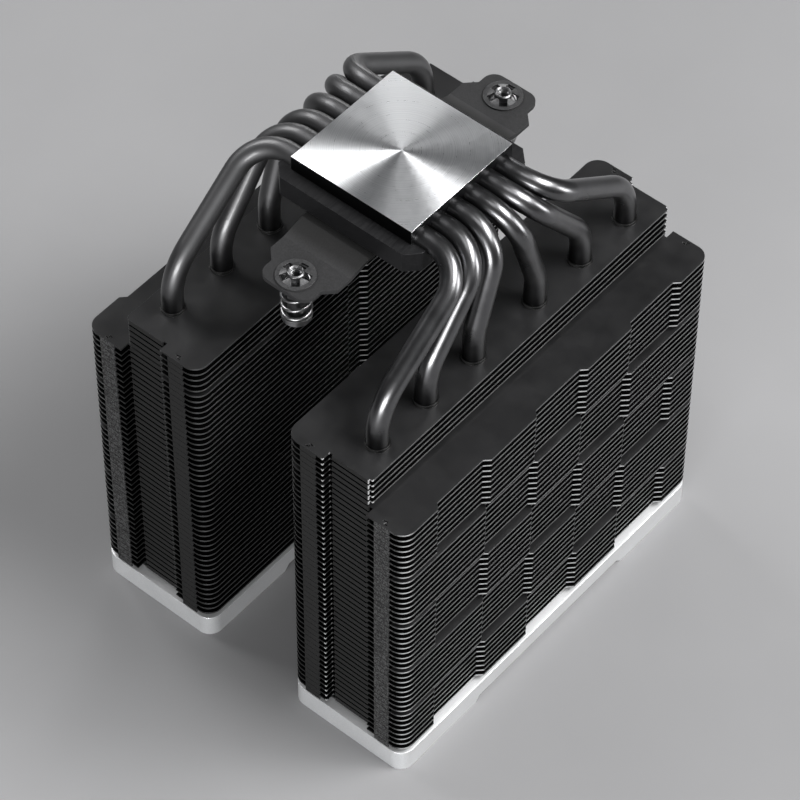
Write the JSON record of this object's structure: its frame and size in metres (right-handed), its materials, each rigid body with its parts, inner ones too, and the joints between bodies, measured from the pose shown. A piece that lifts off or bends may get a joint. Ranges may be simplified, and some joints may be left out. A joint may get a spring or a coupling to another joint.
{
  "type": "cpu tower cooler",
  "caption": "Twin-tower CPU air cooler without fans, standing on its covers: bent heat pipes join a cold plate to two stacks of dark fins.",
  "frame": {"origin": "centre of the footprint, on the plane the two top covers stand on; stored as pictured, upside down against its place in a computer", "axes": "+Z from the top covers up to the cold plate's contact face, X along the length of the fins and the crossbar, Y across the two towers; front tower on the -Y side"},
  "size_m": [0.127, 0.11, 0.158],
  "materials": {
    "nickel_plate": "turned nickel plating",
    "black_block": "satin black plating",
    "black_pipe": "gloss black plating",
    "black_fin": "satin black coating",
    "silver_cover": "satin anodised",
    "black_bar": "satin powder coat",
    "bright_steel": "bright plated steel",
    "dark_ring": "blackened spring steel, bright where it grips"
  },
  "bodies": {
    "cooler": {"cold_plate": "nickel_plate", "base_block": "black_block", "heat_pipe_1": "black_pipe", "heat_pipe_2": "black_pipe", "heat_pipe_3": "black_pipe", "heat_pipe_4": "black_pipe", "heat_pipe_5": "black_pipe", "heat_pipe_6": "black_pipe", "front_short_fins": "black_fin", "front_fins_a": "black_fin", "front_fins_b": "black_fin", "rear_short_fins": "black_fin", "rear_fins_a": "black_fin", "rear_fins_b": "black_fin", "front_cover": "silver_cover", "rear_cover": "silver_cover", "crossbar": "black_bar", "crossbar_screws": "bright_steel", "left_spring": "bright_steel", "right_spring": "bright_steel"},
    "left_washer": {"left_spring_washer": "bright_steel"},
    "left_captive_nut": {"left_nut": "bright_steel", "left_retaining_ring": "dark_ring"},
    "right_washer": {"right_spring_washer": "bright_steel"},
    "right_captive_nut": {"right_nut": "bright_steel", "right_retaining_ring": "dark_ring"}
  },
  "joints": [
    {"name": "left_nut_lift", "type": "slide", "parent": "cooler", "child": "left_washer", "axis": [0, 0, 1], "range_m": [0, 0.006], "stiffness_N_per_m": 4000, "springref_m": -0.004, "deforming": ["left_spring"]},
    {"name": "left_nut_turn", "type": "hinge", "parent": "left_washer", "child": "left_captive_nut", "pos_m": [-0.0412, 0, 0.138], "axis": [0, 0, 1], "continuous": true},
    {"name": "right_nut_lift", "type": "slide", "parent": "cooler", "child": "right_washer", "axis": [0, 0, 1], "range_m": [0, 0.006], "stiffness_N_per_m": 4000, "springref_m": -0.004, "deforming": ["right_spring"]},
    {"name": "right_nut_turn", "type": "hinge", "parent": "right_washer", "child": "right_captive_nut", "pos_m": [0.0412, 0, 0.138], "axis": [0, 0, 1], "continuous": true}
  ]
}
